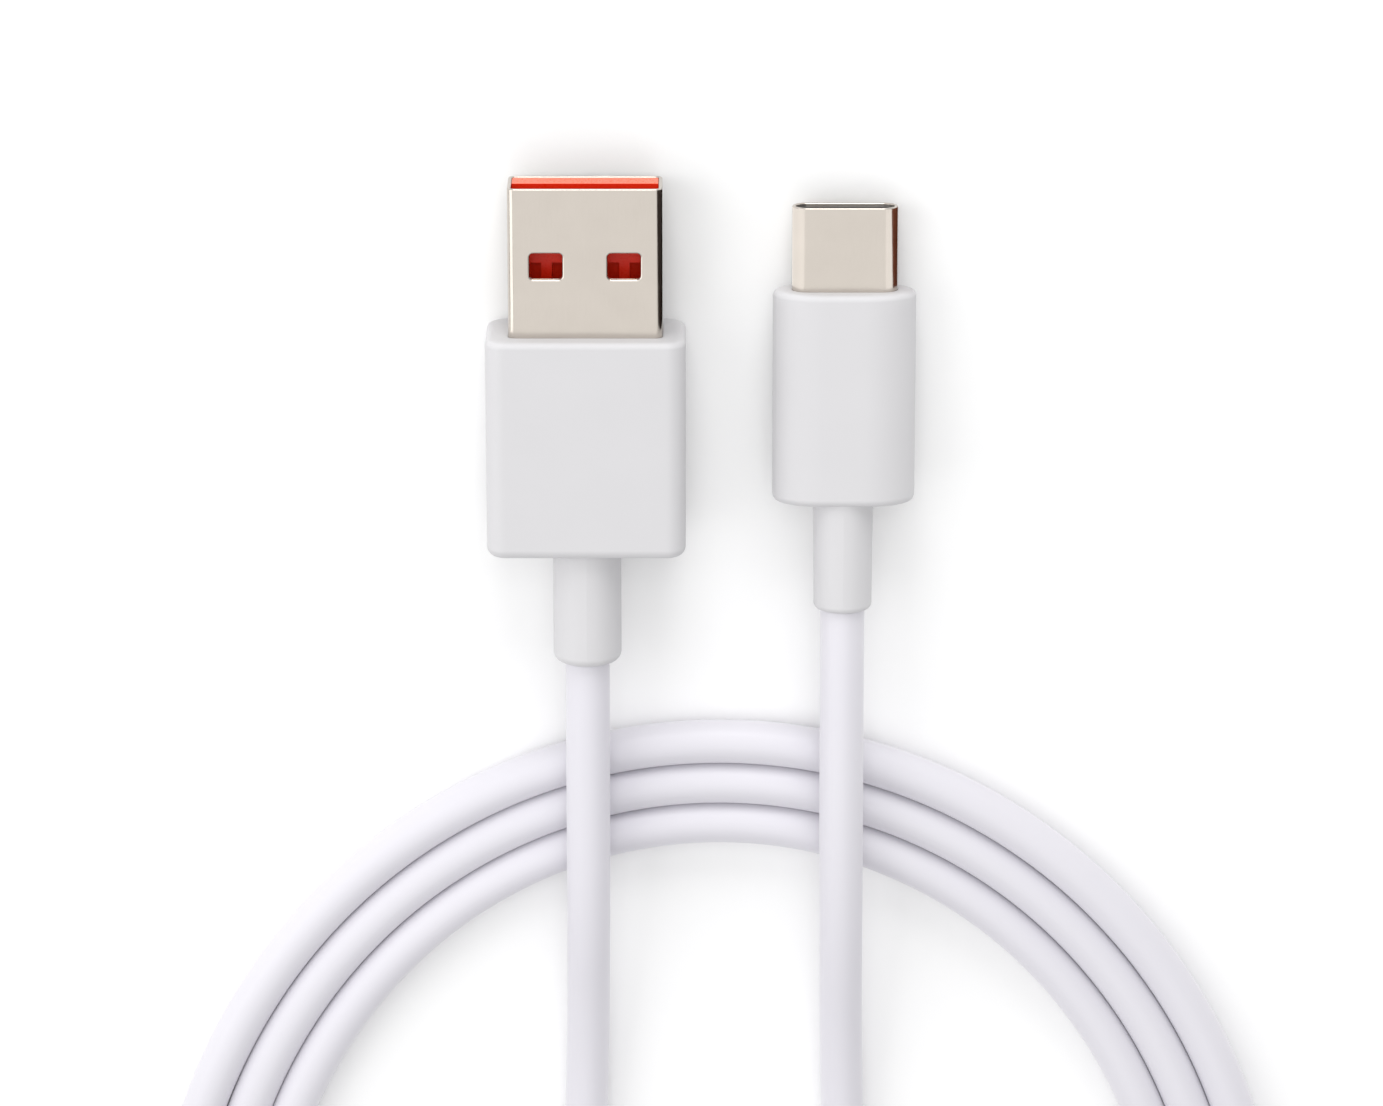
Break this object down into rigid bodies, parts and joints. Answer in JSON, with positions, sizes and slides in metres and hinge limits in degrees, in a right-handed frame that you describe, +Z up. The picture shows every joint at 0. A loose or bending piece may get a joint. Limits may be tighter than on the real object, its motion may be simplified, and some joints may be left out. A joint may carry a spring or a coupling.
{
  "type": "charging cable",
  "caption": "Coiled phone charging cable: white jacket, a USB-A plug at one end and a USB-C plug at the other, each with an overmould and strain relief.",
  "frame": {"origin": "bottom centre of the box around the two plugs, on the table", "axes": "+Y along the plugs towards their tips, +X to the right from the USB-A plug to the USB-C plug, +Z up from the table"},
  "size_m": [0.0947, 0.1517, 0.009],
  "materials": {
    "nickel_plated_steel": "satin",
    "tinned_steel": "satin",
    "spring_steel": "satin",
    "gold_plated_copper_alloy": "polished",
    "tinned_copper_braid": "woven",
    "orange_pbt": "moulded",
    "black_nylon": "moulded",
    "white_tpe": "fine matt moulded",
    "white_tpe_jacket": "extruded",
    "natural_polyethylene": "moulded",
    "green_circuit_board": "lacquered",
    "ceramic_chip": "fired",
    "red_insulation": "extruded",
    "black_insulation": "extruded",
    "white_insulation": "extruded",
    "green_insulation": "extruded"
  },
  "bodies": {
    "cord": {"cord_run_to_usb_a": "white_tpe_jacket", "cord_coil": "white_tpe_jacket", "cord_run_to_usb_c": "white_tpe_jacket"},
    "usb_a_plug": {"usb_a_braid": "tinned_copper_braid", "usb_a_contact_carrier": "black_nylon", "usb_a_contact_data_minus": "gold_plated_copper_alloy", "usb_a_contact_data_plus": "gold_plated_copper_alloy", "usb_a_contact_ground": "gold_plated_copper_alloy", "usb_a_contact_power": "gold_plated_copper_alloy", "usb_a_cord_end": "white_tpe_jacket", "usb_a_ferrule": "tinned_steel", "usb_a_inner_mould": "natural_polyethylene", "usb_a_overmould": "white_tpe", "usb_a_shell": "nickel_plated_steel", "usb_a_shield_lower": "tinned_steel", "usb_a_shield_upper": "tinned_steel", "usb_a_strain_relief": "white_tpe", "usb_a_tongue": "orange_pbt", "usb_a_wire_black": "black_insulation", "usb_a_wire_green": "green_insulation", "usb_a_wire_red": "red_insulation", "usb_a_wire_white": "white_insulation"},
    "usb_c_plug": {"usb_c_board": "green_circuit_board", "usb_c_braid": "tinned_copper_braid", "usb_c_capacitor": "ceramic_chip", "usb_c_contact_tails_lower": "gold_plated_copper_alloy", "usb_c_contact_tails_upper": "gold_plated_copper_alloy", "usb_c_cord_end": "white_tpe_jacket", "usb_c_ferrule": "tinned_steel", "usb_c_ground_spring_lower": "spring_steel", "usb_c_ground_spring_upper": "spring_steel", "usb_c_housing": "black_nylon", "usb_c_inner_mould": "natural_polyethylene", "usb_c_middle_plate": "spring_steel", "usb_c_overmould": "white_tpe", "usb_c_resistor": "ceramic_chip", "usb_c_shell": "nickel_plated_steel", "usb_c_shield_lower": "tinned_steel", "usb_c_shield_upper": "tinned_steel", "usb_c_strain_relief": "white_tpe", "usb_c_wire_black": "black_insulation", "usb_c_wire_green": "green_insulation", "usb_c_wire_red": "red_insulation", "usb_c_wire_white": "white_insulation"},
    "usb_c_upper_contact_row": {"usb_c_contacts_upper": "gold_plated_copper_alloy"},
    "usb_c_lower_contact_row": {"usb_c_contacts_lower": "gold_plated_copper_alloy"},
    "usb_c_left_latch": {"usb_c_latch_left": "spring_steel"},
    "usb_c_right_latch": {"usb_c_latch_right": "spring_steel"}
  },
  "joints": [
    {"name": "usb_a_bend", "type": "hinge", "parent": "cord", "child": "usb_a_plug", "pos_m": [-0.009, -0.02938, 0.00622], "axis": [1, 0, 0], "range_deg": [0, 60], "stiffness_Nm_per_rad": 0.006, "deforming": ["cord_run_to_usb_a"]},
    {"name": "usb_c_bend", "type": "hinge", "parent": "cord", "child": "usb_c_plug", "pos_m": [0.0112, -0.02505, 0.00647], "axis": [1, 0, 0], "range_deg": [0, 60], "stiffness_Nm_per_rad": 0.006, "deforming": ["cord_run_to_usb_c"]},
    {"name": "usb_c_latch_left_spread", "type": "hinge", "parent": "usb_c_plug", "child": "usb_c_left_latch", "pos_m": [0.00767, 0.0114, 0.00265], "axis": [0, 0.1044, 0.9945], "range_deg": [0, 2], "stiffness_Nm_per_rad": 0.02},
    {"name": "usb_c_latch_right_spread", "type": "hinge", "parent": "usb_c_plug", "child": "usb_c_right_latch", "pos_m": [0.01473, 0.0114, 0.00265], "axis": [0, -0.1044, -0.9945], "range_deg": [0, 2], "stiffness_Nm_per_rad": 0.02},
    {"name": "usb_c_contacts_upper_spread", "type": "hinge", "parent": "usb_c_plug", "child": "usb_c_upper_contact_row", "pos_m": [0.0112, 0.01145, 0.00304], "axis": [1, 0, 0], "range_deg": [0, 3], "stiffness_Nm_per_rad": 0.02},
    {"name": "usb_c_contacts_lower_spread", "type": "hinge", "parent": "usb_c_plug", "child": "usb_c_lower_contact_row", "pos_m": [0.0112, 0.01136, 0.00225], "axis": [-1, 0, 0], "range_deg": [0, 3], "stiffness_Nm_per_rad": 0.02}
  ]
}
